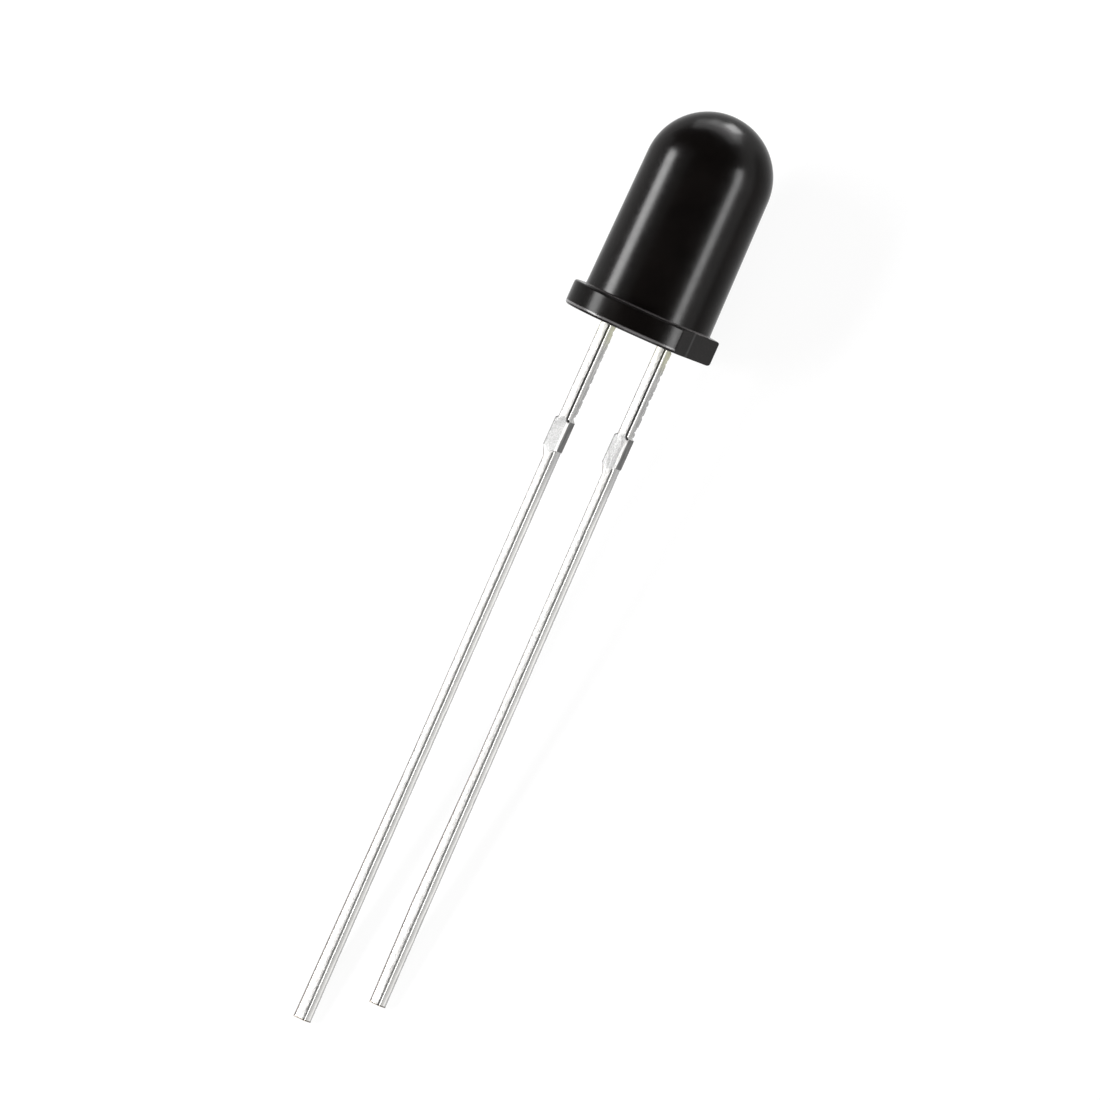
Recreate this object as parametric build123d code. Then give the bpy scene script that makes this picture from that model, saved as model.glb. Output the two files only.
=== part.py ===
from build123d import *
from math import asin, atan2, cos, degrees, hypot, radians, sin, tan
import os

# Photodiode in a round 5 mm epoxy package, with two stamped leads. Millimetres.
# Every piece is drawn upright: +Z is the optical axis, the flange's underside is at zero,
# and the leads stand side by side along Y. The finished pieces are then laid down as the
# real part comes to rest, on the rim of the flange and on the tips of both leads.

# The epoxy body
BARREL_DIAMETER = 5.0
BARREL_DRAFT = 0.8
BODY_HEIGHT = 8.8
FLANGE_OVERHANG = 0.425
FLANGE_THICKNESS = 0.96
FLANGE_EDGE_RADIUS = 0.09
FLAT_CORNER_RADIUS = 0.14
BARREL_ROOT_RADIUS = 0.1
MENISCUS_WIDTH = 0.13
MENISCUS_HEIGHT = 0.06

# The strip that both leads are stamped from
LEAD_PITCH = 2.54
LEAD_THICKNESS = 0.5
UPPER_LEAD_WIDTH = 0.48
LOWER_LEAD_WIDTH = 0.43
EDGE_ROLL_RADIUS = 0.085

# Distances down from the flange's underside
ANODE_LENGTH = 28.2
CATHODE_LENGTH = 26.5
ANODE_STUB_DEPTH = 3.98
CATHODE_STUB_DEPTH = 3.63

# The stub that is left of the tie bar
STUB_WIDTH = 0.61
STUB_HEIGHT = 1.19
STUB_TAIL = 0.35

# Below the stub a lead steps over towards the flat and leans that way by a few tenths of a degree
LOWER_LEAD_STEP = 0.06
ANODE_LEAN = 0.46
CATHODE_LEAN = 0.62

# Uneven width towards the tips: distances up from the tip, and how far the edge stands out
ANODE_SWELL_LENGTH = 10.5
ANODE_TIP_SWELL = 0.12
CATHODE_BULGE_LENGTH = 9.8
CATHODE_BULGE_TO_TIP = 4.0
CATHODE_BULGE = 0.11
CATHODE_TIP_SWELL = 0.065

# The heads of the leads inside the body
HEAD_FOOT_HEIGHT = 2.4
HEAD_BARB = 0.3
PLATFORM_NECK_WIDTH = 1.0
PLATFORM_SIDE = 1.2
PLATFORM_TOP_HEIGHT = 5.5
PLATFORM_PLATE = 0.25
PLATFORM_GUSSET_HEIGHT = 0.45
PLATFORM_CORNER_RADIUS = 0.15
POST_GAP = 0.35
POST_TOP_HEIGHT = 5.0

# The chip, its bed and its wire
CHIP_SIDE = 0.95
CHIP_THICKNESS = 0.28
BED_THICKNESS = 0.03
BED_MARGIN = 0.04
WIRE_DIAMETER = 0.03
BALL_DIAMETER = 0.09
BALL_HEIGHT = 0.04
BALL_TO_CHIP_EDGE = 0.16
FOOT_DIAMETER = 0.1
FOOT_HEIGHT = 0.03
WIRE_LOOP_HEIGHT = 0.32
WIRE_LOOP_DROP = 0.1
WIRE_RUN_OUT = 0.38
WIRE_BALL_BEND = 0.12
WIRE_LOOP_BEND = 0.25

# Places that more than one piece needs
barrel_radius = BARREL_DIAMETER / 2
flange_radius = barrel_radius + FLANGE_OVERHANG
anode_y = LEAD_PITCH / 2
cathode_y = -LEAD_PITCH / 2
platform_bottom = PLATFORM_TOP_HEIGHT - PLATFORM_PLATE
post_inner_y = PLATFORM_NECK_WIDTH / 2 + POST_GAP
post_outer_y = anode_y + UPPER_LEAD_WIDTH / 2 + HEAD_BARB
chip_bottom = PLATFORM_TOP_HEIGHT + BED_THICKNESS
chip_top = chip_bottom + CHIP_THICKNESS


def lower_centre(side, lean, stub_depth, z):
    """Where the centre line of the lead on this side of the axis stands at height z, below its stub."""
    below_stub = -stub_depth - STUB_HEIGHT - z
    return side * LEAD_PITCH / 2 - LOWER_LEAD_STEP - below_stub * tan(radians(lean))


def lead(side, length, stub_depth, lean, swell, head):
    """One stamped lead: its outline in the plane of the strip, given the strip's thickness.

    side is 1 for the anode and -1 for the cathode.
    swell lists (distance up from the tip, extra width of the +Y edge), from the tip upwards.
    head lists the outline's points inside the body, from the +Y edge over to the -Y edge.
    """
    centre_y = side * LEAD_PITCH / 2
    upper = UPPER_LEAD_WIDTH / 2
    lower = LOWER_LEAD_WIDTH / 2
    stub = STUB_WIDTH / 2
    stub_top = -stub_depth
    stub_bottom = stub_top - STUB_HEIGHT

    points = []
    for above_tip, extra in swell:
        z = -length + above_tip
        points.append((lower_centre(side, lean, stub_depth, z) + lower + extra, z))
    tail_end = stub_bottom - STUB_TAIL
    points += [
        (lower_centre(side, lean, stub_depth, tail_end) + lower, tail_end),
        (centre_y + stub, stub_bottom),
        (centre_y + stub, stub_top),
        (centre_y + upper, stub_top + stub - upper),
    ]
    points += head
    root_y = lower_centre(side, lean, stub_depth, stub_bottom) - lower
    root_rise = max(centre_y - stub - root_y, 0)
    points += [
        (centre_y - upper, stub_top + stub - upper),
        (centre_y - stub, stub_top),
        (centre_y - stub, stub_bottom),
        (root_y, stub_bottom - root_rise),
        (lower_centre(side, lean, stub_depth, -length) - lower, -length),
    ]
    strip = extrude(Plane.YZ * make_face(Polyline(*points, close=True)), LEAD_THICKNESS / 2, both=True)
    return roll_edges(strip, stub_bottom, stub_top)


def roll_edges(strip, stub_bottom, stub_top):
    """The punch rounds the long edges of one face of the strip. The stub's own edges stay sharp."""
    face = strip.faces().sort_by(Axis.X)[0]
    long_edges = face.edges().filter_by(
        lambda edge: edge.length > STUB_TAIL / 2
        and edge.center().Z < HEAD_FOOT_HEIGHT
        and not stub_bottom < edge.center().Z < stub_top
        and abs(edge.tangent_at(0.5).Z) > 0.5)
    return fillet(long_edges, EDGE_ROLL_RADIUS)


def cathode_lead():
    """The short lead. Its head is an anvil that leans over to carry the chip on the optical axis."""
    half_width = UPPER_LEAD_WIDTH / 2
    inner_y = cathode_y + half_width
    outer_y = cathode_y - half_width
    neck = PLATFORM_NECK_WIDTH / 2
    barb_y = outer_y - HEAD_BARB
    head = [
        (inner_y, HEAD_FOOT_HEIGHT),
        (neck, HEAD_FOOT_HEIGHT + neck - inner_y),
        (neck, platform_bottom),
        (-neck, platform_bottom),
        (barb_y, platform_bottom - (-neck - barb_y)),
        (barb_y, HEAD_FOOT_HEIGHT + HEAD_BARB),
        (outer_y, HEAD_FOOT_HEIGHT),
    ]
    swell = [
        (0, CATHODE_TIP_SWELL),
        (CATHODE_BULGE_TO_TIP, CATHODE_BULGE),
        (CATHODE_BULGE_LENGTH, 0),
    ]
    strip = lead(-1, CATHODE_LENGTH, CATHODE_STUB_DEPTH, CATHODE_LEAN, swell, head)
    return strip + platform()


def platform():
    """Headed end of the cathode's anvil: a plate wider than the strip, on gussets on both faces."""
    plate = RectangleRounded(PLATFORM_SIDE, PLATFORM_SIDE, PLATFORM_CORNER_RADIUS)
    plate = Pos(0, 0, platform_bottom) * extrude(plate, PLATFORM_PLATE)
    reach = PLATFORM_SIDE / 2 - PLATFORM_CORNER_RADIUS
    gusset_foot = platform_bottom - PLATFORM_GUSSET_HEIGHT
    gusset = Polyline(
        (-LEAD_THICKNESS / 2, gusset_foot),
        (LEAD_THICKNESS / 2, gusset_foot),
        (reach, platform_bottom),
        (-reach, platform_bottom),
        close=True)
    gusset = extrude(Plane.XZ * make_face(gusset), PLATFORM_NECK_WIDTH / 2, both=True)
    return plate + gusset


def anode_lead():
    """The long lead. Its head is a wider post, a gap away from the anvil, for the wire to land on."""
    half_width = UPPER_LEAD_WIDTH / 2
    inner_y = anode_y - half_width
    outer_y = anode_y + half_width
    head = [
        (outer_y, HEAD_FOOT_HEIGHT),
        (post_outer_y, HEAD_FOOT_HEIGHT + HEAD_BARB),
        (post_outer_y, POST_TOP_HEIGHT),
        (post_inner_y, POST_TOP_HEIGHT),
        (post_inner_y, HEAD_FOOT_HEIGHT + inner_y - post_inner_y),
        (inner_y, HEAD_FOOT_HEIGHT),
    ]
    swell = [
        (0, ANODE_TIP_SWELL),
        (ANODE_SWELL_LENGTH, 0),
    ]
    return lead(1, ANODE_LENGTH, ANODE_STUB_DEPTH, ANODE_LEAN, swell, head)


def die_attach():
    """Thin bed of silver-filled resin, squeezed out a little past the chip."""
    side = CHIP_SIDE + 2 * BED_MARGIN
    return Pos(0, 0, PLATFORM_TOP_HEIGHT) * extrude(RectangleRounded(side, side, BED_MARGIN), BED_THICKNESS)


def photodiode_chip():
    """Sawn silicon chip, face up."""
    return Pos(0, 0, chip_bottom) * extrude(Rectangle(CHIP_SIDE, CHIP_SIDE), CHIP_THICKNESS)


def bond_wire():
    """Wire from the chip's face over to the anode's post, with a ball on the chip and a foot on the post."""
    ball_y = CHIP_SIDE / 2 - BALL_TO_CHIP_EDGE
    foot_y = (post_inner_y + post_outer_y) / 2
    loop_top = chip_top + BALL_HEIGHT + WIRE_LOOP_HEIGHT
    route = FilletPolyline(
        (0, ball_y, chip_top + BALL_HEIGHT / 2),
        (0, ball_y, loop_top),
        (0, foot_y - WIRE_RUN_OUT, loop_top - WIRE_LOOP_DROP),
        (0, foot_y, POST_TOP_HEIGHT + FOOT_HEIGHT / 2),
        radius=[WIRE_BALL_BEND, WIRE_LOOP_BEND])
    wire = sweep(Plane(origin=route @ 0, z_dir=route % 0) * Circle(WIRE_DIAMETER / 2), path=route)
    ball = extrude(Circle(BALL_DIAMETER / 2), BALL_HEIGHT)
    ball = chamfer(ball.edges().sort_by(Axis.Z)[-1], BALL_HEIGHT / 2)
    foot = extrude(Circle(FOOT_DIAMETER / 2), FOOT_HEIGHT)
    return wire + Pos(0, ball_y, chip_top) * ball + Pos(0, foot_y, POST_TOP_HEIGHT) * foot


def turned_body():
    """The casting before its flat: flange, root fillet, drafted barrel, and a dome tangent to the barrel."""
    draft = radians(BARREL_DRAFT)
    barrel_height = BODY_HEIGHT - FLANGE_THICKNESS
    dome_radius = (barrel_radius - barrel_height * tan(draft)) * cos(draft) / (1 - sin(draft))
    dome_centre = BODY_HEIGHT - dome_radius
    middle = radians(45 + BARREL_DRAFT / 2)
    barrel_top = (dome_radius * cos(draft), dome_centre + dome_radius * sin(draft))
    dome_middle = (dome_radius * cos(middle), dome_centre + dome_radius * sin(middle))
    corners = FilletPolyline(
        (0, 0),
        (flange_radius, 0),
        (flange_radius, FLANGE_THICKNESS),
        (barrel_radius, FLANGE_THICKNESS),
        barrel_top,
        radius=[FLANGE_EDGE_RADIUS, FLANGE_EDGE_RADIUS, BARREL_ROOT_RADIUS])
    dome = ThreePointArc(barrel_top, dome_middle, (0, BODY_HEIGHT))
    axis = Line((0, BODY_HEIGHT), (0, 0))
    return revolve(Plane.XZ * make_face([corners, dome, axis]), Axis.Z)


def flat_outline():
    """Plan of the flange: a circle with one flat, flush with the barrel, on the cathode's side."""
    beyond_flat = Pos(0, -barrel_radius - flange_radius) * Rectangle(2 * flange_radius, 2 * flange_radius)
    outline = Circle(flange_radius) - beyond_flat
    return fillet(outline.vertices(), FLAT_CORNER_RADIUS)


def meniscus(centre_y):
    """Low collar of resin that crept down a lead before it set."""
    collar = RectangleRounded(
        LEAD_THICKNESS + 2 * MENISCUS_WIDTH,
        UPPER_LEAD_WIDTH + 2 * MENISCUS_WIDTH,
        MENISCUS_WIDTH)
    slope = degrees(atan2(MENISCUS_WIDTH / 2, MENISCUS_HEIGHT))
    return Pos(0, centre_y) * extrude(collar, -MENISCUS_HEIGHT, taper=slope)


def epoxy_body(held):
    """The casting, with the room that the held pieces take up inside it."""
    body = turned_body() & extrude(flat_outline(), BODY_HEIGHT)
    body = body + meniscus(anode_y) + meniscus(cathode_y)
    for piece in held:
        body = body - piece
    return body


def resting_angles():
    """Pitch and roll that bring the flange's rim and the lower corners of both tips onto one plane."""
    rim_arm = flange_radius - FLANGE_EDGE_RADIUS
    half_width = LOWER_LEAD_WIDTH / 2
    anode_tip = lower_centre(1, ANODE_LEAN, ANODE_STUB_DEPTH, -ANODE_LENGTH) - half_width
    cathode_tip = lower_centre(-1, CATHODE_LEAN, CATHODE_STUB_DEPTH, -CATHODE_LENGTH) - half_width
    pitch = 0
    roll = 0
    for step in range(8):
        reach = ANODE_LENGTH + FLANGE_EDGE_RADIUS
        rise = rim_arm - LEAD_THICKNESS / 2 * cos(roll) + anode_tip * sin(roll)
        pitch = atan2(rise, reach) + asin(FLANGE_EDGE_RADIUS / hypot(reach, rise))
        roll = asin((ANODE_LENGTH - CATHODE_LENGTH) * tan(pitch) / (anode_tip - cathode_tip))
    return degrees(pitch), degrees(roll)


held_pieces = {
    "anode_lead": anode_lead(),
    "cathode_lead": cathode_lead(),
    "die_attach": die_attach(),
    "photodiode_chip": photodiode_chip(),
    "bond_wire": bond_wire(),
}
pieces = {"epoxy_body": epoxy_body(held_pieces.values()), **held_pieces}

pitch, roll = resting_angles()
print("pitch", round(pitch, 3), "roll", round(roll, 3))
laid_down = Rot(0, 90 - pitch, 0) * Rot(0, 0, roll)

os.makedirs("parts", exist_ok=True)
for name, piece in pieces.items():
    export_step(laid_down * piece, f"parts/{name}.step")
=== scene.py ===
from math import asin, cos, degrees, pi, radians, sin, sqrt, tan

import bmesh
import bpy
from mathutils import Matrix, Vector, noise


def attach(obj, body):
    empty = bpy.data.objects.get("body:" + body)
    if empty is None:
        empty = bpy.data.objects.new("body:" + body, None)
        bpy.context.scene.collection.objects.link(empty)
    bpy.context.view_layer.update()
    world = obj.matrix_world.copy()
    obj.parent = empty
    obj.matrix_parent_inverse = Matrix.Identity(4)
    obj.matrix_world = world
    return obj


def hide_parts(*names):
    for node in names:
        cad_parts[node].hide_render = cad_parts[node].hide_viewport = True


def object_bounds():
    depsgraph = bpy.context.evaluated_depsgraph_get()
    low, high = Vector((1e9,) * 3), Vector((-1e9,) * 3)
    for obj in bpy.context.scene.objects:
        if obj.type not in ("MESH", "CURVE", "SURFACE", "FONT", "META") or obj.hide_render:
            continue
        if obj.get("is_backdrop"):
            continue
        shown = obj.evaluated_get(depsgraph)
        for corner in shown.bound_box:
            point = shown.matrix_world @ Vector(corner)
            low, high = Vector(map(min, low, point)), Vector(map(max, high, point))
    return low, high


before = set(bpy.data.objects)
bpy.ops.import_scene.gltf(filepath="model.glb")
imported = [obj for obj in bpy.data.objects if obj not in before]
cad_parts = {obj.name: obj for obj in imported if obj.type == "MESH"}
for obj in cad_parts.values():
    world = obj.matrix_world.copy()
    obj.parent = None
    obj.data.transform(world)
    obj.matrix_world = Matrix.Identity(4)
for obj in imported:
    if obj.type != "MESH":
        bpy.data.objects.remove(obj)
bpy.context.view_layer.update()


# Epoxy body: one solid block, transfer-cast round both leads at once in black epoxy that passes
# only infrared. It has a flange with a flat on the cathode's side, a barrel with a little draft and
# a round dome, with the mould's polish and a faint flow texture.
BARREL_RADIUS = 2.498
BARREL_DRAFT = radians(0.8)
BODY_HEIGHT = 8.799
FLANGE_RADIUS = 2.922
FLANGE_THICKNESS = 0.96
FLANGE_EDGE_RADIUS = 0.09
FLANGE_FOOT_RADIUS = 0.13
BARREL_ROOT_RADIUS = 0.1
FLAT_CORNER_RADIUS = 0.14
LEAD_PITCH = 2.54
LEAD_THICKNESS = 0.5
UPPER_LEAD_WIDTH = 0.48
MENISCUS_WIDTH = 0.13
MENISCUS_HEIGHT = 0.06
MENISCUS_FOOT_SHARE = 0.8
MENISCUS_ROUNDING = 0.05

# How finely the casting is divided, and the narrow strips that keep its edges crisp
BODY_FACETS = 224
BARREL_RINGS = 24
FLAT_CORNER_CUTS = 6
SUPPORT_WIDTH = 0.02
UNDERSIDE_RING_WIDTH = 0.3
SHARP_EDGE = radians(30)

EPOXY_DARK = (0.0017, 0.0013, 0.0012, 1)
EPOXY_LIGHT = (0.0027, 0.0021, 0.0019, 1)
EPOXY_IOR = 1.26
# Painted highlight: a pale line in the barrel's root
ROOT_PAINTED_HIGHLIGHT = (0.05, 0.047, 0.047, 1)
ROOT_HIGHLIGHT_BOTTOM = (FLANGE_THICKNESS + 0.003, FLANGE_THICKNESS + 0.012)
ROOT_HIGHLIGHT_TOP = (FLANGE_THICKNESS + 0.09, FLANGE_THICKNESS + 0.04)
# Painted highlight: a pale line along the flange's lower edge, which also shines fully
FOOT_PAINTED_HIGHLIGHT = (0.075, 0.072, 0.072, 1)
FOOT_HIGHLIGHT_BOTTOM = (0.07, 0.1)
FOOT_HIGHLIGHT_TOP = (0.175, 0.14)
SHEEN_FACING = 0.5
SHEEN_AT_OUTLINE = 0.15
SHEEN_BESIDE_FLAT = 0.16
SHEEN_OF_FLAT = 0.18
SHEEN_OF_FLAT_LINE = 0.5
SHEEN_SHARE_OF_FLANGE = 0.6
BESIDE_FLAT_X = (-0.95, -0.55)
BESIDE_FLAT_Y = (-1.5, -2.0)
FLANGE_BELOW = (FLANGE_THICKNESS + 0.01, FLANGE_THICKNESS - 0.02)
FLANGE_AWAY_FROM_FLAT = (-0.5, 0.5)
FLAT_FACE = (-BARREL_RADIUS + 0.008, -BARREL_RADIUS + 0.001)
FLAT_LINE_X = -0.54
FLAT_LINE_EDGE = (0.02, 0.11)

# Most of a noise lies between these two values
NOISE_MIDDLE = (0.3, 0.7)

# Upright drawing in millimetres, laid down as the part comes to rest, in metres
REST_PITCH = radians(5.506)
REST_ROLL = radians(3.628)
laid_down = Matrix.Rotation(pi / 2 - REST_PITCH, 4, "Y") @ Matrix.Rotation(REST_ROLL, 4, "Z")
upright_to_row = laid_down @ Matrix.Scale(0.001, 4)


def finished_piece(name, mesh, material):
    """Lays an upright bmesh down, closes its normals and links it as a piece of the root body."""
    bmesh.ops.remove_doubles(mesh, verts=mesh.verts, dist=0.0005)
    bmesh.ops.transform(mesh, matrix=upright_to_row, verts=mesh.verts)
    bmesh.ops.recalc_face_normals(mesh, faces=mesh.faces)
    for face in mesh.faces:
        face.smooth = True
    for edge in mesh.edges:
        edge.smooth = edge.calc_face_angle(pi) < SHARP_EDGE
    data = bpy.data.meshes.new(name)
    mesh.to_mesh(data)
    mesh.free()
    data.materials.append(material)
    piece = bpy.data.objects.new(name, data)
    bpy.context.scene.collection.objects.link(piece)
    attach(piece, "root")
    return piece


def new_material(name):
    """A node material, with its tree and its Principled shader."""
    material = bpy.data.materials.new(name)
    material.use_nodes = True
    tree = material.node_tree
    return material, tree, tree.nodes["Principled BSDF"]


def put(tree, value, socket):
    """Puts a number, a colour or another node's socket onto an input."""
    if isinstance(value, bpy.types.NodeSocket):
        tree.links.new(value, socket)
    else:
        socket.default_value = value


def feed(tree, node, **values):
    """Puts values onto a node's inputs by name, with an underscore for each space."""
    for name, value in values.items():
        put(tree, value, node.inputs[name.replace("_", " ")])


def add_node(tree, kind, settings=None, **values):
    """One node. Settings are its properties, and values go onto its inputs."""
    node = tree.nodes.new(kind)
    for name, value in (settings or {}).items():
        setattr(node, name, value)
    feed(tree, node, **values)
    return node


def fade(tree, value, start, end, to_start=0.0, to_end=1.0, interpolation="SMOOTHSTEP"):
    """Carries start..end over to to_start..to_end, held at both ends."""
    node = add_node(
        tree, "ShaderNodeMapRange", {"interpolation_type": interpolation}, Value=value,
        From_Min=start, From_Max=end, To_Min=to_start, To_Max=to_end)
    return node.outputs["Result"]


def arithmetic(tree, operation, first, second=0.0):
    """One sum on numbers or sockets."""
    node = add_node(tree, "ShaderNodeMath", {"operation": operation})
    for socket, value in zip(node.inputs, (first, second)):
        put(tree, value, socket)
    return node.outputs[0]


def product(tree, first, *others):
    """Masks, or a mask and its strength, multiplied together."""
    result = first
    for other in others:
        result = arithmetic(tree, "MULTIPLY", result, other)
    return result


def mix_colours(tree, factor, first, second, blend_type="MIX"):
    """Mix of two colours or colour sockets."""
    node = add_node(tree, "ShaderNodeMix", {"data_type": "RGBA", "blend_type": blend_type}, Factor=factor)
    sockets = [socket for socket in node.inputs if socket.type == "RGBA"]
    for socket, value in zip(sockets, (first, second)):
        put(tree, value, socket)
    return node.outputs[2]


def mix_values(tree, factor, first, second):
    """Mix of two numbers or sockets."""
    node = add_node(tree, "ShaderNodeMix", {"data_type": "FLOAT"}, Factor=factor, A=first, B=second)
    return node.outputs[0]


def speckle(tree, where, scale, detail):
    """Cloudy noise over the piece, so many waves to the millimetre."""
    return add_node(tree, "ShaderNodeTexNoise", Vector=where, Scale=scale, Detail=detail).outputs["Fac"]


def add_relief(tree, shader, height, strength, depth):
    """Fine relief on a material, where height says how the surface rises and falls."""
    bump = add_node(tree, "ShaderNodeBump", Strength=strength, Distance=depth, Height=height)
    feed(tree, shader, Normal=bump.outputs["Normal"])


def upright_group():
    """Node group: the piece's own coordinates turned back upright, in millimetres."""
    group = bpy.data.node_groups.new("upright_millimetres", "ShaderNodeTree")
    group.interface.new_socket("Place", in_out="OUTPUT", socket_type="NodeSocketVector")
    for axis in "XYZ":
        group.interface.new_socket(axis, in_out="OUTPUT", socket_type="NodeSocketFloat")
    where = add_node(group, "ShaderNodeTexCoord")
    turned = add_node(
        group, "ShaderNodeMapping", {"vector_type": "POINT"}, Vector=where.outputs["Object"],
        Rotation=laid_down.inverted().to_euler("XYZ"))
    larger = add_node(
        group, "ShaderNodeVectorMath", {"operation": "SCALE"}, Vector=turned.outputs[0], Scale=1000)
    apart = add_node(group, "ShaderNodeSeparateXYZ", Vector=larger.outputs[0])
    out = add_node(group, "NodeGroupOutput", Place=larger.outputs[0])
    for axis in "XYZ":
        group.links.new(apart.outputs[axis], out.inputs[axis])
    return group


def outputs_of(tree, group):
    """What a node group puts out, placed in this material."""
    return add_node(tree, "ShaderNodeGroup", {"node_tree": group}).outputs


upright = upright_group()


def epoxy_sheen(tree, place, on_flat, foot_highlight):
    """How strongly the polish shines, from facing surfaces to the outline and on the duller parts."""
    facing = add_node(tree, "ShaderNodeLayerWeight", Blend=0.5).outputs["Facing"]
    sheen = fade(tree, facing, 0.22, 0.65, SHEEN_FACING, SHEEN_AT_OUTLINE)

    # the barrel is duller next to the flat, and so is the side of the flange away from it
    beside_flat = product(
        tree, fade(tree, place["X"], *BESIDE_FLAT_X), fade(tree, place["Y"], *BESIDE_FLAT_Y))
    sheen = mix_values(tree, beside_flat, sheen, SHEEN_BESIDE_FLAT)
    on_flange = product(
        tree, fade(tree, place["Z"], *FLANGE_BELOW), fade(tree, place["Y"], *FLANGE_AWAY_FROM_FLAT))
    sheen = product(tree, sheen, fade(tree, on_flange, 0, 1, 1, SHEEN_SHARE_OF_FLANGE))

    # the flat is dull but for one soft line along it
    from_line = arithmetic(tree, "ABSOLUTE", arithmetic(tree, "ADD", place["X"], -FLAT_LINE_X))
    near_line = fade(tree, from_line, *FLAT_LINE_EDGE, 1, 0)
    flat_sheen = fade(tree, near_line, 0, 1, SHEEN_OF_FLAT, SHEEN_OF_FLAT_LINE)
    sheen = mix_values(tree, on_flat, sheen, flat_sheen)
    # the flange's lower edge, which carries a painted highlight, shines fully
    return mix_values(tree, foot_highlight, sheen, 1.0)


def epoxy_material():
    """Black epoxy: warm and nearly black, polished, with a flow texture just seen in the highlights."""
    material, tree, shader = new_material("black_epoxy")
    place = outputs_of(tree, upright)
    cloud = speckle(tree, place["Place"], 0.9, 4.0)
    colour = mix_colours(tree, fade(tree, cloud, *NOISE_MIDDLE), EPOXY_DARK, EPOXY_LIGHT)

    # painted highlights: a pale line in the barrel's root, and another along the flange's lower edge away
    # from the flat
    root_highlight = product(tree, fade(tree, place["Z"], *ROOT_HIGHLIGHT_BOTTOM), fade(tree, place["Z"], *ROOT_HIGHLIGHT_TOP))
    colour = mix_colours(tree, root_highlight, colour, ROOT_PAINTED_HIGHLIGHT)
    on_flat = fade(tree, place["Y"], *FLAT_FACE)
    foot_highlight = product(
        tree, fade(tree, place["Z"], *FOOT_HIGHLIGHT_TOP), fade(tree, place["Z"], *FOOT_HIGHLIGHT_BOTTOM),
        fade(tree, on_flat, 0, 1, 1, 0))
    colour = mix_colours(tree, foot_highlight, colour, FOOT_PAINTED_HIGHLIGHT)

    polish = speckle(tree, place["Place"], 3.0, 6.0)
    feed(
        tree, shader, Base_Color=colour, IOR=EPOXY_IOR,
        Roughness=fade(tree, polish, *NOISE_MIDDLE, 0.205, 0.24),
        Specular_IOR_Level=epoxy_sheen(tree, place, on_flat, foot_highlight))
    ripple = speckle(tree, place["Place"], 2.2, 5.0)
    add_relief(tree, shader, ripple, strength=0.02, depth=0.00004)
    return material


def arc(centre, radius, start, end, steps):
    """Points round part of a circle in the profile's plane, from start to end in degrees."""
    turns = (radians(start + (end - start) * step / steps) for step in range(steps + 1))
    return [(centre[0] + radius * cos(turn), centre[1] + radius * sin(turn)) for turn in turns]


def body_profile():
    """Half section of the body as (radius, height), from the underside's middle up to the dome's top."""
    edge = FLANGE_EDGE_RADIUS
    foot = FLANGE_FOOT_RADIUS
    root = BARREL_ROOT_RADIUS
    draft = degrees(BARREL_DRAFT)
    barrel_height = BODY_HEIGHT - FLANGE_THICKNESS
    dome_radius = (BARREL_RADIUS - barrel_height * tan(BARREL_DRAFT)) * cos(BARREL_DRAFT)
    dome_radius /= 1 - sin(BARREL_DRAFT)
    dome_centre = BODY_HEIGHT - dome_radius
    inner_foot = FLANGE_RADIUS - foot
    root_centre = (BARREL_RADIUS + root, FLANGE_THICKNESS + root)
    points = [(0, 0), (inner_foot - UNDERSIDE_RING_WIDTH, 0), (inner_foot - SUPPORT_WIDTH, 0)]
    points += arc((inner_foot, foot), foot, -90, 0, steps=10)
    points += [
        (FLANGE_RADIUS, foot + SUPPORT_WIDTH),
        (FLANGE_RADIUS, FLANGE_THICKNESS - edge - SUPPORT_WIDTH),
    ]
    points += arc((FLANGE_RADIUS - edge, FLANGE_THICKNESS - edge), edge, 0, 90, steps=8)
    points += [(root_centre[0] + SUPPORT_WIDTH / 2, FLANGE_THICKNESS)]
    points += arc(root_centre, root, -90, -180 + draft, steps=8)
    lowest_ring = root + SUPPORT_WIDTH
    highest_ring = dome_centre - FLANGE_THICKNESS - SUPPORT_WIDTH
    for ring in range(1, BARREL_RINGS):
        height = lowest_ring + (highest_ring - lowest_ring) * ring / BARREL_RINGS
        points.append((BARREL_RADIUS - height * tan(BARREL_DRAFT), FLANGE_THICKNESS + height))
    points += arc((0, dome_centre), dome_radius, draft, 90, steps=60)
    points[-1] = (0, BODY_HEIGHT)
    return points


def cut_away(mesh, point, normal, support=0.0):
    """Cuts off what lies beyond a plane and closes the cut with a face, inset by the support's width."""
    everything = mesh.verts[:] + mesh.edges[:] + mesh.faces[:]
    cut = bmesh.ops.bisect_plane(
        mesh, geom=everything, dist=1e-5, plane_co=point, plane_no=normal, clear_outer=True)
    rim = [item for item in cut["geom_cut"] if isinstance(item, bmesh.types.BMEdge)]
    closed = bmesh.ops.holes_fill(mesh, edges=rim)["faces"]
    if support:
        bmesh.ops.inset_region(mesh, faces=closed, thickness=support, use_even_offset=True)


def cut_flat(mesh):
    """The flat on the flange, level with the barrel, and its two corners rounded by a row of cuts."""
    fillet = FLAT_CORNER_RADIUS
    fillet_y = -BARREL_RADIUS + fillet
    fillet_x = sqrt((FLANGE_RADIUS - fillet) ** 2 - fillet_y ** 2)
    outer_turn = asin(-fillet_y / (FLANGE_RADIUS - fillet))
    for side in (1, -1):
        for step in range(1, FLAT_CORNER_CUTS + 1):
            turn = pi / 2 + (outer_turn - pi / 2) * step / (FLAT_CORNER_CUTS + 0.5)
            normal = Vector((side * cos(turn), -sin(turn), 0))
            cut_away(mesh, Vector((side * fillet_x, fillet_y, 0)) + fillet * normal, normal)
    cut_away(mesh, Vector((0, -BARREL_RADIUS, 0)), Vector((0, -1, 0)), support=SUPPORT_WIDTH)


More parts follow.
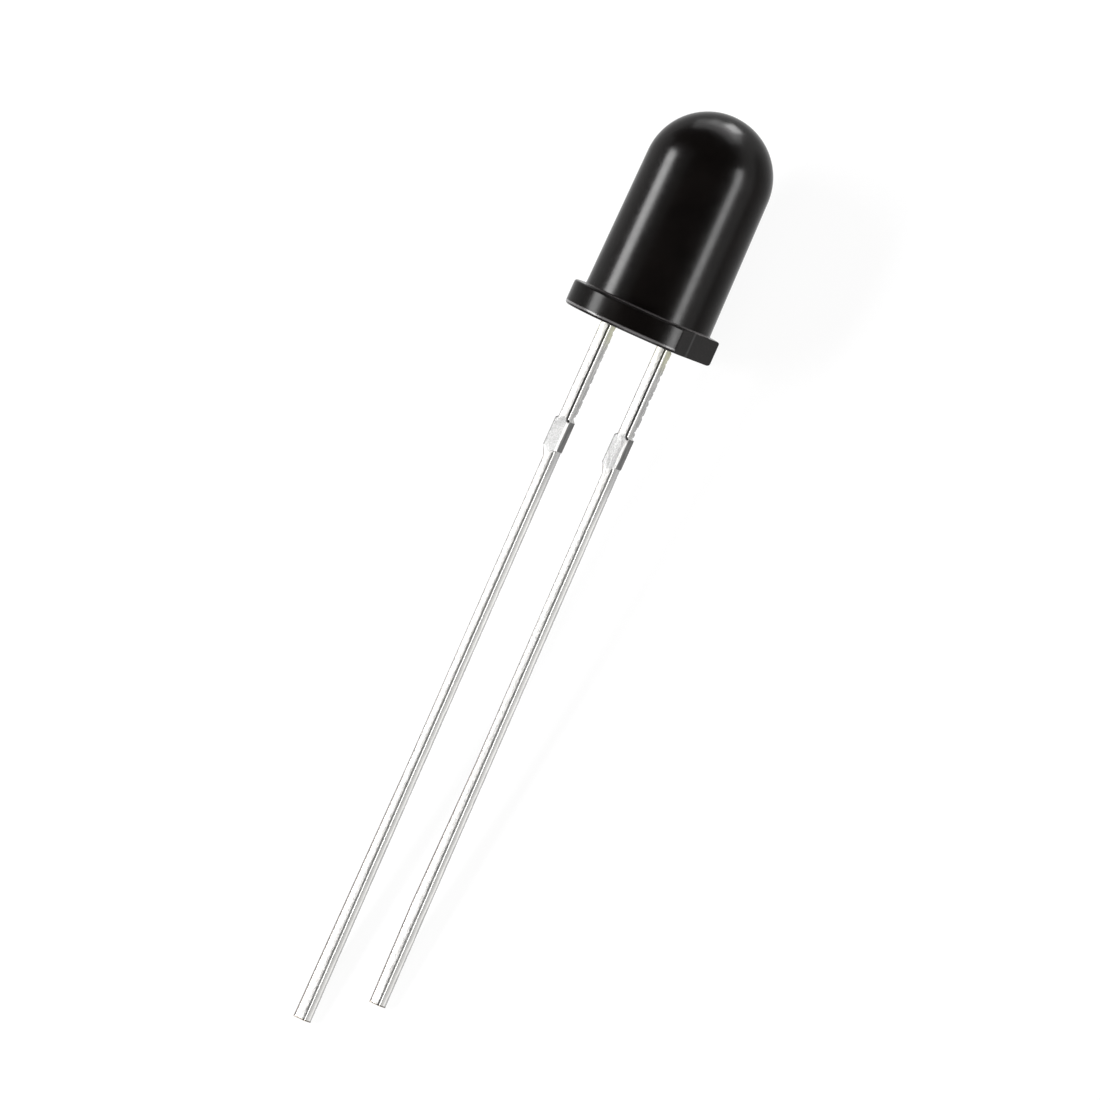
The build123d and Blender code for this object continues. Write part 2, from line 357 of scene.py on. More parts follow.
def add_meniscus(mesh, side):
    """A low collar where the resin crept down one lead, narrower at its lower rim."""
    collar = bmesh.ops.create_cube(mesh, size=1)["verts"]
    depth = LEAD_THICKNESS + 2 * MENISCUS_WIDTH
    width = UPPER_LEAD_WIDTH + 2 * MENISCUS_WIDTH
    middle = Vector((0, side * LEAD_PITCH / 2, 0))
    bmesh.ops.scale(mesh, vec=(depth, width, 2 * MENISCUS_HEIGHT), verts=collar)
    bmesh.ops.translate(mesh, vec=middle, verts=collar)
    low = [vert for vert in collar if vert.co.z < 0]
    narrower = (MENISCUS_FOOT_SHARE, MENISCUS_FOOT_SHARE, 1)
    bmesh.ops.scale(mesh, vec=narrower, verts=low, space=Matrix.Translation(-middle))
    rounded = {edge for vert in collar for edge in vert.link_edges}
    bmesh.ops.bevel(
        mesh, geom=list(rounded), offset=MENISCUS_ROUNDING, offset_type="OFFSET", segments=3, profile=0.5,
        affect="EDGES", material=-1)


def body_mesh():
    """The turned block, with its flat and a collar of resin round each lead."""
    mesh = bmesh.new()
    line = [mesh.verts.new((radius, 0, height)) for radius, height in body_profile()]
    edges = [mesh.edges.new(pair) for pair in zip(line, line[1:])]
    bmesh.ops.spin(
        mesh, geom=line + edges, cent=(0, 0, 0), axis=(0, 0, 1), angle=2 * pi, steps=BODY_FACETS,
        use_merge=True)
    bmesh.ops.remove_doubles(mesh, verts=mesh.verts, dist=1e-4)
    bmesh.ops.recalc_face_normals(mesh, faces=mesh.faces)
    cut_flat(mesh)
    for side in (1, -1):
        add_meniscus(mesh, side)
    return mesh


epoxy_body = finished_piece("epoxy_body_cast", body_mesh(), epoxy_material())
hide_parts("epoxy_body")


# Leads: two strips stamped side by side from one sheet of steel and tinned, then cut free of the
# tie bar between them, which leaves a stub on each. The punch rolls the long edges of the front
# face and tears the back ones. Their heads are cast into the epoxy.
ANODE_LENGTH = 28.199
ANODE_STUB_DEPTH = 3.98
CATHODE_LENGTH = 26.5
CATHODE_STUB_DEPTH = 3.63
LOWER_LEAD_WIDTH = 0.43
LOWER_LEAD_STEP = 0.06
STUB_WIDTH = 0.61
STUB_HEIGHT = 1.19
STUB_TAIL = 0.35
HEAD_FOOT_HEIGHT = 2.4
EDGE_ROLL_RADIUS = 0.115
OUTLINE_STEP = 0.06

# The torn back edges: where they start in the thickness, how deep they run and how they vary
TEAR_START = 0.1
TEAR_DEPTH = 0.04
TEAR_SHARE_ABOVE_STUB = 1.2
TEAR_SHARE_BELOW_STUB = 0.2
TEAR_CLEAR_OF_TIP = 0.1
COARSE_TEARS = 1.7
FINE_TEARS = 8

# Brightness through the metal's thickness, as (millimetres behind its middle, brightness): rolled corner,
# darkened as painted shade, burnished line, drawn steel and torn edge, and for the cut stubs a bright line,
# then torn
BANDS_ABOVE_STUB = [
    (-0.2498, 0.5), (-0.247, 0.1), (-0.215, 0.08), (-0.19, 0.5), (-0.16, 0.6), (-0.12, 0.44),
    (-0.04, 0.44), (0.04, 0.5), (0.09, 0.52), (0.14, 0.46), (0.19, 0.5), (0.25, 0.5)]
BANDS_BELOW_STUB = [
    (-0.2498, 0.5), (-0.246, 0.4), (-0.222, 0.3), (-0.2, 0.28), (-0.17, 0.36), (-0.12, 0.52),
    (-0.04, 0.62), (0.03, 0.74), (0.09, 0.98), (0.13, 0.9), (0.17, 0.48), (0.25, 0.4)]
BANDS_OF_CUT_STUB = [(-0.25, 0.9), (-0.21, 0.8), (-0.175, 0.2), (-0.02, 0.14), (0.25, 0.19)]
BAND_WANDER = 0.02

# Where a lead's finishes and painted shade fade in or out: along it and across it from the middle of its
# stub, up from its tip, down from the flange, and back through the metal from its middle
BANDS_CHANGE_ALONG = (-0.3, 0.3)
# painted shade on the sides just below the stub
SHADE_BELOW_STUB_ALONG = (-3.2, -0.8)
SHADE_BELOW_STUB_END = (-0.5, -0.62)
SHADE_BELOW_STUB_BACK = (-0.2, -0.12)
STREAKS_ALONG = (0.5, 0.8)
STREAKS_BACK = (-0.12, -0.05)
FROST_REACH = (0.78, 0.7)
FROST_ACROSS = (-0.25, -0.2)
FRONT_FACE = (-0.23, -0.247)
OUTLINE_REACH = (0.62, 0.57)
OUTLINE_ACROSS = (0.255, 0.285)
ROLL_SHADE_ABOVE_TIP = (18, 5)
DULL_ABOVE_TIP = (0.06, 0.03)
RESIN_DOWN = (-1.2, -0.3)

TIN_DULL = (0.93, 0.925, 0.915, 1)
TIN_BRIGHT = (1, 0.995, 0.985, 1)
# Painted shade on the sides just below the stub
SHADE_BELOW_STUB_GREY = (0.34, 0.34, 0.34, 1)
STREAK_GREY = (0.25, 0.25, 0.25, 1)
# Painted shade on the rolled corner away from the flat, darker towards the tip
ROLL_PAINTED_SHADE = (0.16, 0.155, 0.15, 1)
ROLL_PAINTED_SHADE_NEAR_TIP = (0.07, 0.063, 0.06, 1)
FROST_DARK = (0.26, 0.26, 0.26, 1)
FROST_PALE = (0.35, 0.35, 0.345, 1)
STUB_OUTLINE = (0.1, 0.1, 0.1, 1)
RESIN_STAIN = (0.5, 0.5, 0.28, 1)
CUT_TIP = (0.14, 0.12, 0.1, 1)


def lead_group():
    """Node group: across and along a lead from the middle of its own stub, and up from its tip."""
    group = bpy.data.node_groups.new("place_on_lead", "ShaderNodeTree")
    for name in ("Across", "Along", "Above Tip"):
        group.interface.new_socket(name, in_out="OUTPUT", socket_type="NodeSocketFloat")
    place = outputs_of(group, upright)
    on_anode = arithmetic(group, "GREATER_THAN", place["Y"], 0.0)
    centre = fade(group, on_anode, 0, 1, -LEAD_PITCH / 2, LEAD_PITCH / 2)
    stub_middle = fade(
        group, on_anode, 0, 1, -CATHODE_STUB_DEPTH - STUB_HEIGHT / 2, -ANODE_STUB_DEPTH - STUB_HEIGHT / 2)
    tip = fade(group, on_anode, 0, 1, -CATHODE_LENGTH, -ANODE_LENGTH)
    add_node(
        group, "NodeGroupOutput", Across=arithmetic(group, "SUBTRACT", place["Y"], centre),
        Along=arithmetic(group, "SUBTRACT", place["Z"], stub_middle),
        Above_Tip=arithmetic(group, "SUBTRACT", place["Z"], tip))
    return group


place_on_lead = lead_group()


def stretched(tree, where, scale):
    """The place on the piece scaled in its three directions, so that a pattern on it is drawn out."""
    return add_node(tree, "ShaderNodeMapping", Vector=where, Scale=scale).outputs[0]


def banded(tree, value, bands):
    """Colour that changes along a value in bands, given as (value, brightness)."""
    ramp = tree.nodes.new("ShaderNodeValToRGB")
    start, end = bands[0][0], bands[-1][0]
    elements = ramp.color_ramp.elements
    while len(elements) < len(bands):
        elements.new(0.5)
    for element, (at, level) in zip(elements, bands):
        element.position = (at - start) / (end - start)
        element.color = (level, level * 0.995, level * 0.98, 1)
    feed(tree, ramp, Fac=fade(tree, value, start, end, interpolation="LINEAR"))
    return ramp.outputs[0]


def depth_in_metal(tree, place):
    """How far back in the thickness, wandering along the lead except at the front corner."""
    waver = speckle(tree, stretched(tree, place["Place"], (1, 1, 0.5)), 3.0, 3.0)
    wander = product(
        tree, fade(tree, place["X"], -0.15, -0.1),
        fade(tree, waver, *NOISE_MIDDLE, -BAND_WANDER, BAND_WANDER))
    return arithmetic(tree, "ADD", place["X"], wander)


def sheared_sides(tree, tin, depth, place, lead_place):
    """The banded sides, with painted shade on them just below the stub, and streaked above it."""
    along = lead_place["Along"]
    below = banded(tree, depth, BANDS_BELOW_STUB)
    above = banded(tree, depth, BANDS_ABOVE_STUB)
    bands = mix_colours(tree, fade(tree, along, *BANDS_CHANGE_ALONG), below, above)
    tin = mix_colours(tree, 1.0, tin, bands, "MULTIPLY")
    shade_below_stub = product(
        tree, fade(tree, along, *SHADE_BELOW_STUB_ALONG, 0.0, 0.75), fade(tree, along, *SHADE_BELOW_STUB_END),
        fade(tree, place["X"], *SHADE_BELOW_STUB_BACK))
    tin = mix_colours(tree, shade_below_stub, tin, SHADE_BELOW_STUB_GREY)
    torn = speckle(tree, stretched(tree, place["Place"], (14, 1, 1.1)), 1.6, 5.0)
    streaks = product(
        tree, fade(tree, torn, 0.4, 0.6), fade(tree, along, *STREAKS_ALONG, 0.15, 0.9),
        fade(tree, place["X"], *STREAKS_BACK))
    return mix_colours(tree, streaks, tin, STREAK_GREY)


def rolled_corner(tree, tin, lead_place):
    """The front corner away from the flat rolls out of the light, and a dull brown line is painted on it as
    painted shade.
    """
    corner = add_node(tree, "ShaderNodeAttribute", {"attribute_name": "shaded_corner"}).outputs["Fac"]
    near_tip = fade(tree, lead_place["Above Tip"], *ROLL_SHADE_ABOVE_TIP)
    brown = mix_colours(tree, near_tip, ROLL_PAINTED_SHADE, ROLL_PAINTED_SHADE_NEAR_TIP)
    return mix_colours(tree, corner, tin, brown)


def frosted_stub(tree, tin, place, lead_place):
    """The clamp left the stub's front frosted, and its edge away from the flat has a dark outline.

    Gives the colour, and the mask of the frost.
    """
    reach = arithmetic(tree, "ABSOLUTE", lead_place["Along"])
    slope = product(tree, arithmetic(tree, "ABSOLUTE", lead_place["Across"]), 0.5)
    frost = product(
        tree, fade(tree, arithmetic(tree, "ADD", reach, slope), *FROST_REACH),
        fade(tree, place["X"], *FRONT_FACE), fade(tree, lead_place["Across"], *FROST_ACROSS))
    sugar = speckle(tree, place["Place"], 26.0, 3.0)
    frosted = mix_colours(tree, fade(tree, sugar, 0.35, 0.65), FROST_DARK, FROST_PALE)
    tin = mix_colours(tree, frost, tin, frosted)
    outline = product(
        tree, fade(tree, reach, *OUTLINE_REACH), fade(tree, lead_place["Across"], *OUTLINE_ACROSS), 0.8)
    return mix_colours(tree, outline, tin, STUB_OUTLINE), frost


def tin_material():
    """Tin over steel: pale and matt on the faces, banded on the sheared sides, frosted on the stub."""
    material, tree, shader = new_material("tinned_steel")
    place = outputs_of(tree, upright)
    lead_place = outputs_of(tree, place_on_lead)
    grain = speckle(tree, place["Place"], 9.0, 6.0)
    depth = depth_in_metal(tree, place)
    tin = mix_colours(tree, fade(tree, grain, *NOISE_MIDDLE), TIN_DULL, TIN_BRIGHT)
    tin = sheared_sides(tree, tin, depth, place, lead_place)
    tin = rolled_corner(tree, tin, lead_place)
    tin, frost = frosted_stub(tree, tin, place, lead_place)

    # resin bled a millimetre down the leads, and the cut tips are dull
    bled = product(
        tree, fade(tree, place["Z"], *RESIN_DOWN),
        fade(tree, place["X"], -LEAD_THICKNESS / 2, 0.0, 0.08, 0.5))
    tin = mix_colours(tree, bled, tin, RESIN_STAIN)
    tin = mix_colours(tree, fade(tree, lead_place["Above Tip"], *DULL_ABOVE_TIP), tin, CUT_TIP)

    # smooth tin is matt on the front face, shinier on the sides and roughest on the frosted stubs
    roughness = product(
        tree, fade(tree, grain, *NOISE_MIDDLE, 0.38, 0.46), fade(tree, depth, -0.23, -0.2, 1.0, 0.6))
    roughness = arithmetic(tree, "ADD", roughness, product(tree, frost, 0.15))
    feed(tree, shader, Base_Color=tin, Metallic=1, Roughness=roughness)
    add_relief(tree, shader, speckle(tree, place["Place"], 22.0, 4.0), strength=0.08, depth=0.00002)
    return material


def cut_material():
    """Bare steel where the tie bar was cut off: a bright line at the front, then dark and torn."""
    material, tree, shader = new_material("cut_steel")
    place = outputs_of(tree, upright)
    scores = speckle(tree, stretched(tree, place["Place"], (1, 1, 0.3)), 9.0, 4.0)
    bands = banded(tree, place["X"], BANDS_OF_CUT_STUB)
    scored = fade(tree, scores, *NOISE_MIDDLE, 0.6, 1.0)
    steel = add_node(tree, "ShaderNodeVectorMath", {"operation": "SCALE"}, Vector=bands, Scale=scored)
    feed(tree, shader, Base_Color=steel.outputs[0], Metallic=1, Roughness=0.45)
    add_relief(tree, shader, scores, strength=0.25, depth=0.00002)
    return material


tinned_steel = tin_material()
cut_steel = cut_material()


def lower_centre(side, lean, stub_depth, height):
    """Where a lead's centre line stands below its stub, where it has stepped over and leans."""
    below_stub = -stub_depth - STUB_HEIGHT - height
    return side * LEAD_PITCH / 2 - LOWER_LEAD_STEP - below_stub * tan(radians(lean))


def lead_outline(side, length, stub_depth, lean, swell, head):
    """The strip's outline as (y, z): up one edge from the tip, round the head and down the other.

    The swell is what the first edge has over the plain width, as (height above the tip, width).
    """
    centre_y = side * LEAD_PITCH / 2
    upper = UPPER_LEAD_WIDTH / 2
    lower = LOWER_LEAD_WIDTH / 2
    stub = STUB_WIDTH / 2
    stub_top = -stub_depth
    stub_bottom = stub_top - STUB_HEIGHT
    tail_end = stub_bottom - STUB_TAIL
    shoulder = stub_top + stub - upper
    lower_edge = lower_centre(side, lean, stub_depth, stub_bottom) - lower
    step_out = max(centre_y - stub - lower_edge, 0)
    swollen = [
        (lower_centre(side, lean, stub_depth, above_tip - length) + lower + extra, above_tip - length)
        for above_tip, extra in swell]
    return [
        *swollen,
        (lower_centre(side, lean, stub_depth, tail_end) + lower, tail_end),
        (centre_y + stub, stub_bottom),
        (centre_y + stub, stub_top),
        (centre_y + upper, shoulder),
        *head,
        (centre_y - upper, shoulder),
        (centre_y - stub, stub_top),
        (centre_y - stub, stub_bottom),
        (lower_edge, stub_bottom - step_out),
        (lower_centre(side, lean, stub_depth, -length) - lower, -length),
    ]


def with_steps(points):
    """The same outline with its long sides stepped, so that the torn edge can wander."""
    stepped = []
    for start, end in zip(points, points[1:] + points[:1]):
        start, end = Vector(start), Vector(end)
        count = max(1, round((end - start).length / OUTLINE_STEP))
        stepped += [start.lerp(end, step / count) for step in range(count)]
    return stepped


def tear_back_edges(back_verts, side, length, stub_depth, lean):
    """Lets the torn edges wander inwards. Each edge of each lead reads its own line of the noise."""
    stub_top = -stub_depth
    stub_bottom = stub_top - STUB_HEIGHT
    for vert in back_verts:
        y, z = vert.co.y, vert.co.z
        if stub_bottom <= z <= stub_top or z > 0 or z < -length + TEAR_CLEAR_OF_TIP:
            continue
        inwards = -1 if y > lower_centre(side, lean, stub_depth, z) else 1
        coarse = noise.noise(Vector((side * 5, inwards * 3, z * COARSE_TEARS)))
        fine = noise.noise(Vector((side * 7, inwards * 2, z * FINE_TEARS)))
        share = TEAR_SHARE_ABOVE_STUB if z > stub_top else TEAR_SHARE_BELOW_STUB
        vert.co.y += inwards * TEAR_DEPTH * share * max(0, 0.1 + coarse + 2 * fine)


def roll_front_edges(mesh, stub_depth):
    """Rounds the long edges of the front face, except along the stub, where they were cut."""
    rolled = []
    for edge in mesh.edges:
        first, second = (vert.co for vert in edge.verts)
        height = ((first + second) / 2).z
        upwards = abs(first.z - second.z) > 0.5 * (first - second).length
        on_front = max(first.x, second.x) < -LEAD_THICKNESS / 2 + 1e-4
        on_stub = -stub_depth - STUB_HEIGHT < height < -stub_depth
        if on_front and upwards and height < HEAD_FOOT_HEIGHT and not on_stub:
            rolled.append(edge)
    bmesh.ops.bevel(
        mesh, geom=rolled, offset=EDGE_ROLL_RADIUS, offset_type="OFFSET", segments=5, profile=0.5,
        affect="EDGES", material=-1, clamp_overlap=False)
    mesh.normal_update()


def mark_faces(mesh, stub_depth):
    """Marks the rolled corner away from the flat for its painted shade, and gives the sides of the stub the
    cut steel.
    """
    shaded_corner = mesh.faces.layers.float.new("shaded_corner")
    for face in mesh.faces:
        height = face.calc_center_median().z
        rolled_away = face.normal.x < -0.1 and face.normal.y > 0.05 and height < HEAD_FOOT_HEIGHT
        face[shaded_corner] = 1.0 if rolled_away else 0.0
        if abs(face.normal.y) > 0.9 and -stub_depth - STUB_HEIGHT < height < -stub_depth:
            face.material_index = 1


def lead_mesh(side, length, stub_depth, lean, swell, head):
    """One stamped lead, upright: its outline pulled to its thickness, then torn and rolled."""
    mesh = bmesh.new()
    outline = with_steps(lead_outline(side, length, stub_depth, lean, swell, head))
    front = mesh.faces.new([mesh.verts.new((-LEAD_THICKNESS / 2, y, z)) for y, z in outline])
    pulled = bmesh.ops.extrude_face_region(mesh, geom=[front])
    back_verts = [item for item in pulled["geom"] if isinstance(item, bmesh.types.BMVert)]
    bmesh.ops.translate(mesh, vec=(LEAD_THICKNESS, 0, 0), verts=back_verts)
    bmesh.ops.recalc_face_normals(mesh, faces=mesh.faces)
    everything = mesh.verts[:] + mesh.edges[:] + mesh.faces[:]
    bmesh.ops.bisect_plane(mesh, geom=everything, dist=1e-5, plane_co=(TEAR_START, 0, 0), plane_no=(1, 0, 0))
    tear_back_edges(back_verts, side, length, stub_depth, lean)
    roll_front_edges(mesh, stub_depth)
    mark_faces(mesh, stub_depth)
    return mesh


def lead_piece(name, mesh, node):
    """Finishes one lead and puts it in the place of its drawn node."""
    piece = finished_piece(name, mesh, tinned_steel)
    piece.data.materials.append(cut_steel)
    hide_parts(node)


# Anode lead: the long one, of the same tinned steel. Its head is a post that the bond wire lands
# on, with a barb that holds it in the epoxy, and its tip swells to one side.
ANODE_LEAN = 0.46
ANODE_SWELL_LENGTH = 10.5
ANODE_TIP_SWELL = 0.12
HEAD_BARB = 0.3
PLATFORM_NECK_WIDTH = 1.0
POST_GAP = 0.35
POST_TOP_HEIGHT = 5.0

anode_y = LEAD_PITCH / 2
anode_inner = anode_y - UPPER_LEAD_WIDTH / 2
anode_outer = anode_y + UPPER_LEAD_WIDTH / 2
post_inner = PLATFORM_NECK_WIDTH / 2 + POST_GAP
post_outer = anode_outer + HEAD_BARB
anode_head = [
    (anode_outer, HEAD_FOOT_HEIGHT),
    (post_outer, HEAD_FOOT_HEIGHT + HEAD_BARB),
    (post_outer, POST_TOP_HEIGHT),
    (post_inner, POST_TOP_HEIGHT),
    (post_inner, HEAD_FOOT_HEIGHT + anode_inner - post_inner),
    (anode_inner, HEAD_FOOT_HEIGHT),
]
anode_swell = [(0, ANODE_TIP_SWELL), (ANODE_SWELL_LENGTH, 0)]
anode_mesh = lead_mesh(1, ANODE_LENGTH, ANODE_STUB_DEPTH, ANODE_LEAN, anode_swell, anode_head)
lead_piece("anode_lead_stamped", anode_mesh, "anode_lead")


# Cathode lead: the short one, on the flat's side, of the same tinned steel. Its head is an anvil
# that leans over to the optical axis, headed into a square plate for the chip.
CATHODE_LEAN = 0.62
CATHODE_BULGE_LENGTH = 9.8
CATHODE_BULGE_TO_TIP = 4.0
CATHODE_BULGE = 0.11
CATHODE_TIP_SWELL = 0.065
PLATFORM_SIDE = 1.2
PLATFORM_TOP_HEIGHT = 5.5
PLATFORM_PLATE = 0.25
PLATFORM_CORNER_RADIUS = 0.15

platform_bottom = PLATFORM_TOP_HEIGHT - PLATFORM_PLATE
cathode_y = -LEAD_PITCH / 2
cathode_inner = cathode_y + UPPER_LEAD_WIDTH / 2
cathode_outer = cathode_y - UPPER_LEAD_WIDTH / 2
neck = PLATFORM_NECK_WIDTH / 2
cathode_barb = cathode_outer - HEAD_BARB
cathode_head = [
    (cathode_inner, HEAD_FOOT_HEIGHT),
    (neck, HEAD_FOOT_HEIGHT + neck - cathode_inner),
    (neck, platform_bottom),
    (-neck, platform_bottom),
    (cathode_barb, platform_bottom - (-neck - cathode_barb)),
    (cathode_barb, HEAD_FOOT_HEIGHT + HEAD_BARB),
    (cathode_outer, HEAD_FOOT_HEIGHT),
]
cathode_swell = [
    (0, CATHODE_TIP_SWELL), (CATHODE_BULGE_TO_TIP, CATHODE_BULGE), (CATHODE_BULGE_LENGTH, 0)]
cathode_mesh = lead_mesh(
    -1, CATHODE_LENGTH, CATHODE_STUB_DEPTH, CATHODE_LEAN, cathode_swell, cathode_head)
plate = bmesh.ops.create_cube(cathode_mesh, size=1)["verts"]
bmesh.ops.scale(cathode_mesh, vec=(PLATFORM_SIDE, PLATFORM_SIDE, PLATFORM_PLATE), verts=plate)
bmesh.ops.translate(cathode_mesh, vec=(0, 0, platform_bottom + PLATFORM_PLATE / 2), verts=plate)
plate_corners = [
    edge for edge in {edge for vert in plate for edge in vert.link_edges}
    if abs(edge.verts[0].co.z - edge.verts[1].co.z) > PLATFORM_PLATE / 2]
bmesh.ops.bevel(
    cathode_mesh, geom=plate_corners, offset=PLATFORM_CORNER_RADIUS, offset_type="OFFSET", segments=5,
    profile=0.5, affect="EDGES", material=-1)
lead_piece("cathode_lead_stamped", cathode_mesh, "cathode_lead")


# Chip, bed and wire: a sawn silicon chip, the silver-filled resin that holds it on the platform and
# the gold wire from its face to the post. They keep their drawn shapes inside the black casting,
# and only their finish is added here, as dark and light grain, metallic share and roughness.
INNER_FINISHES = {
    "photodiode_chip": ("silicon", (0.03, 0.04, 0.075, 1), (0.05, 0.06, 0.1, 1), 0.0, (0.08, 0.16)),
    "die_attach": ("silver_resin", (0.4, 0.4, 0.38, 1), (0.6, 0.6, 0.58, 1), 0.6, (0.45, 0.6)),
    "bond_wire": ("gold_wire", (0.85, 0.6, 0.22, 1), (0.95, 0.7, 0.3, 1), 1.0, (0.15, 0.25)),
}


def inner_material(name, dark, light, metallic, roughness):
    """A fine two-tone grain, with roughness that follows it."""
    material, tree, shader = new_material(name)
    place = outputs_of(tree, upright)
    grain = speckle(tree, place["Place"], 12.0, 5.0)
    feed(
        tree, shader, Metallic=metallic,
        Base_Color=mix_colours(tree, fade(tree, grain, *NOISE_MIDDLE), dark, light),
        Roughness=fade(tree, grain, *NOISE_MIDDLE, *roughness))
    return material


for node, finish in INNER_FINISHES.items():
    drawn_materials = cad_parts[node].data.materials
    drawn_materials.clear()
    drawn_materials.append(inner_material(*finish))


# Camera: far off with a long lens, so that both leads run nearly parallel. It looks down at the
# part from beside the flat, and is rolled until the leads run down to the left.
CAMERA_ELEVATION = 58.787
CAMERA_AZIMUTH = 4.740
CAMERA_ROLL = -58.934
CAMERA_DISTANCE = 1.0
CAMERA_AIM = Vector((-0.00853533, -0.00045307, -0.00070100))
FRAME_WIDTH_AT_AIM = 0.040606
SENSOR_WIDTH = 36

azimuth = radians(CAMERA_AZIMUTH)
elevation = radians(CAMERA_ELEVATION)
roll = radians(CAMERA_ROLL)
towards_camera = Vector((-sin(azimuth) * cos(elevation), -cos(azimuth) * cos(elevation), sin(elevation)))
level_right = Vector((cos(azimuth), -sin(azimuth), 0))
level_up = towards_camera.cross(level_right)
picture_right = cos(roll) * level_right + sin(roll) * level_up
picture_up = towards_camera.cross(picture_right)

camera_data = bpy.data.cameras.new("camera")
camera_data.sensor_width = SENSOR_WIDTH
camera_data.lens = SENSOR_WIDTH * CAMERA_DISTANCE / FRAME_WIDTH_AT_AIM
camera_data.clip_start = 0.1
camera_data.clip_end = 10
camera = bpy.data.objects.new("camera", camera_data)
camera.location = CAMERA_AIM + CAMERA_DISTANCE * towards_camera
camera.rotation_mode = "QUATERNION"
camera.rotation_quaternion = Matrix((picture_right, picture_up, towards_camera)).transposed().to_quaternion()
bpy.context.scene.collection.objects.link(camera)
bpy.context.scene.camera = camera
bpy.context.scene.view_settings.view_transform = "Standard"


# Floor and room: a plain white matt floor under the part, which is seen as a nearly even white, in
# a dim room with a pale horizon.
FLOOR_HALF_WIDTH = 1.5
FLOOR_DULL = (0.9, 0.9, 0.9, 1)
FLOOR_BRIGHT = (0.92, 0.92, 0.92, 1)
FLOOR_GLOW_SHARE = 0.92
HORIZON_LIGHT = 0.5
ROOM_LIGHT = 0.05


def white_floor_material():
    """Matt white that mostly glows where it is seen, so that shadows on it stay faint."""
    material, tree, shader = new_material("white_floor")
    seen = add_node(tree, "ShaderNodeLightPath").outputs
    seen_directly = arithmetic(tree, "ADD", seen["Is Camera Ray"], seen["Is Glossy Ray"])
    seen_directly = arithmetic(tree, "ADD", seen_directly, seen["Is Transmission Ray"])
    mottle = add_node(tree, "ShaderNodeTexNoise", Scale=40.0).outputs["Fac"]
    paper = mix_colours(tree, mottle, FLOOR_DULL, FLOOR_BRIGHT)
    feed(tree, shader, Base_Color=paper, Roughness=1, Specular_IOR_Level=0)
    glow = add_node(tree, "ShaderNodeEmission", Strength=1.0)
    share = product(tree, arithmetic(tree, "MINIMUM", seen_directly, 1.0), FLOOR_GLOW_SHARE)
    blend = add_node(tree, "ShaderNodeMixShader", Fac=share)
    tree.links.new(shader.outputs[0], blend.inputs[1])
    tree.links.new(glow.outputs[0], blend.inputs[2])
    tree.links.new(blend.outputs[0], tree.nodes["Material Output"].inputs["Surface"])
    return material


low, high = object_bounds()
floor_mesh = bmesh.new()
bmesh.ops.create_grid(floor_mesh, x_segments=1, y_segments=1, size=FLOOR_HALF_WIDTH)
bmesh.ops.translate(floor_mesh, vec=(0, 0, low.z), verts=floor_mesh.verts)
floor_data = bpy.data.meshes.new("floor")
floor_mesh.to_mesh(floor_data)
floor_mesh.free()
floor_data.materials.append(white_floor_material())
floor = bpy.data.objects.new("floor", floor_data)
bpy.context.scene.collection.objects.link(floor)
floor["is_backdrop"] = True

room = bpy.data.worlds.new("studio")
room.use_nodes = True
bpy.context.scene.world = room
room_tree = room.node_tree
looking = add_node(room_tree, "ShaderNodeTexCoord").outputs["Generated"]
looking_up = add_node(room_tree, "ShaderNodeSeparateXYZ", Vector=looking).outputs["Z"]
feed(
    room_tree, room_tree.nodes["Background"], Color=(1, 1, 1, 1),
    Strength=fade(room_tree, looking_up, 0.02, 0.3, HORIZON_LIGHT, ROOM_LIGHT))


# Lamps: soft strips to both sides of the body and one lamp beside the leads, and low on the floor
# in front of the dome, out of the picture, a pale card with two small lamps.
DOME_LAMP_AIM = Vector((0.00829, -0.000765, 0.001834))
DOME_LAMP_FORWARDS = 0.9435

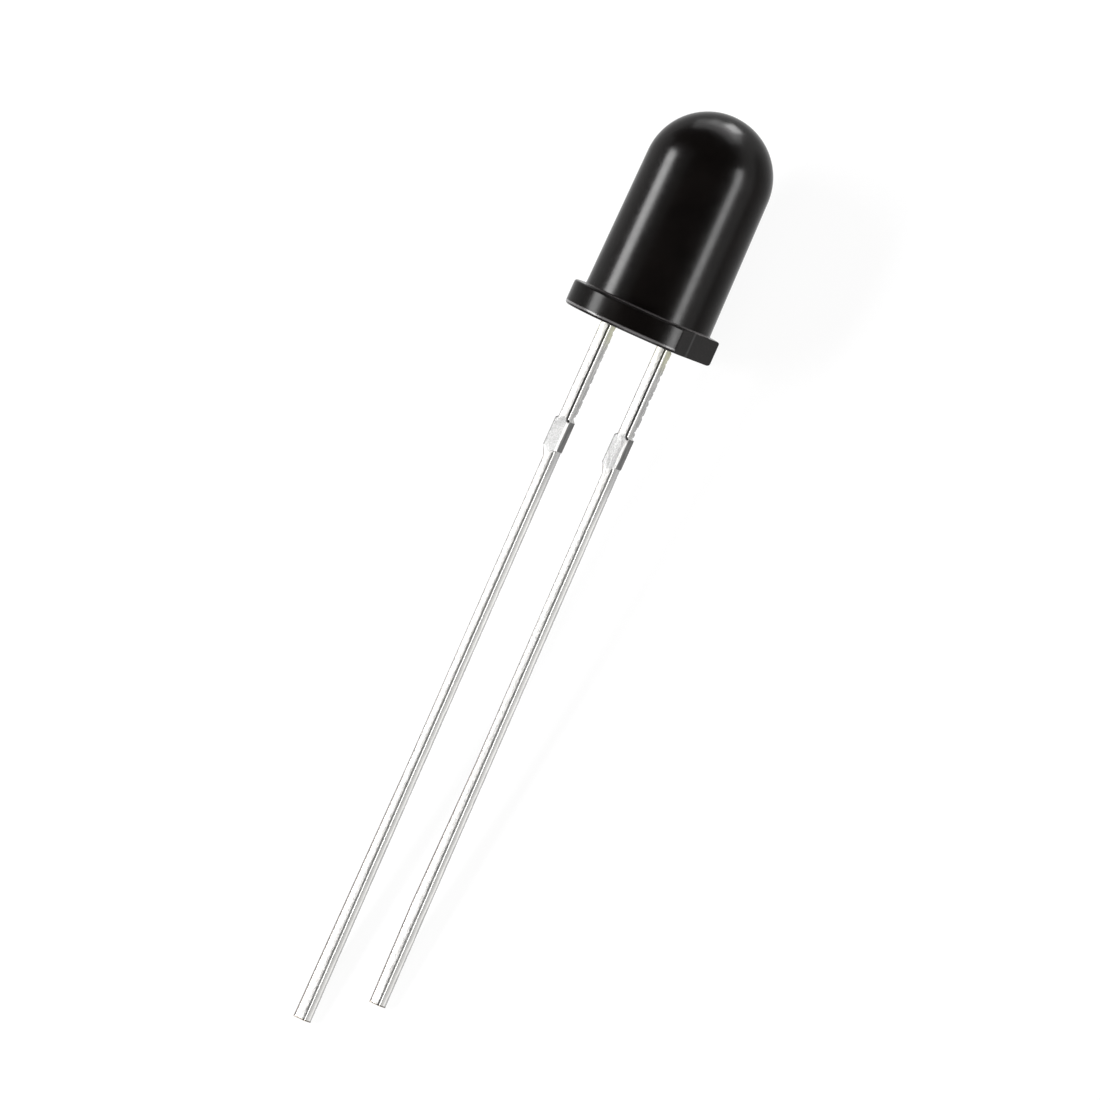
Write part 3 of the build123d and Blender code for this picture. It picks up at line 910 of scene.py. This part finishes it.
# Directions round the body's axis: across the picture of the barrel, and along it to the dome
upwards = Vector((0, 0, 1))
body_axis = (laid_down @ upwards).normalized()
across = body_axis.cross(towards_camera).normalized()
along = towards_camera.cross(across).normalized()


def beside(angle, tilt=0):
    """Direction at an angle round the axis from the camera's, tilted on towards the dome."""
    turned = cos(radians(angle)) * towards_camera + sin(radians(angle)) * across
    return cos(radians(tilt)) * turned + sin(radians(tilt)) * along


def soft_lamp(name, direction, long_way, distance, width, length, power, aim=Vector((0, 0, 0))):
    """Oblong lamp that faces its aim from a direction, with its length turned along long_way."""
    data = bpy.data.lights.new(name, "AREA")
    data.shape = "RECTANGLE"
    data.size = width
    data.size_y = length
    data.energy = power
    direction = direction.normalized()
    side = long_way.cross(direction).normalized()
    facing = Matrix((side, direction.cross(side), direction)).transposed()
    lamp = bpy.data.objects.new(name, data)
    lamp.location = aim + distance * direction
    lamp.rotation_mode = "QUATERNION"
    lamp.rotation_quaternion = facing.to_quaternion()
    lamp.visible_camera = False
    bpy.context.scene.collection.objects.link(lamp)
    lamp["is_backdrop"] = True


def dome_lamp(name, sideways, rise, distance, width, length, power):
    """Lamp in front of the dome, off to one side and lower than what it faces."""
    direction = Vector((DOME_LAMP_FORWARDS, sideways, rise))
    soft_lamp(name, direction, upwards, distance, width, length, power, aim=DOME_LAMP_AIM)


soft_lamp("left_strip", beside(-79.8, -10), along, distance=0.3, width=0.09, length=0.28, power=1.95)
soft_lamp("left_rim", beside(-108), along, distance=0.3, width=0.12, length=0.28, power=0.06)
soft_lamp("left_fill", beside(-56), along, distance=0.35, width=0.2, length=0.4, power=0.08)
soft_lamp("right_strip", beside(57), along, distance=0.3, width=0.11, length=0.36, power=2.0)
soft_lamp("lead_side_lamp", beside(0, -60), across, distance=0.3, width=0.3, length=0.25, power=1.1)
dome_lamp("dome_card", 0.24, -0.08, distance=0.020, width=0.026, length=0.014, power=0.0026)
dome_lamp("dome_glow", 0.2, -0.17, distance=0.014, width=0.012, length=0.005, power=0.0005)
dome_lamp("dome_core", 0.1618, -0.31, distance=0.0105, width=0.0035, length=0.0032, power=0.00052)

low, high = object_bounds()
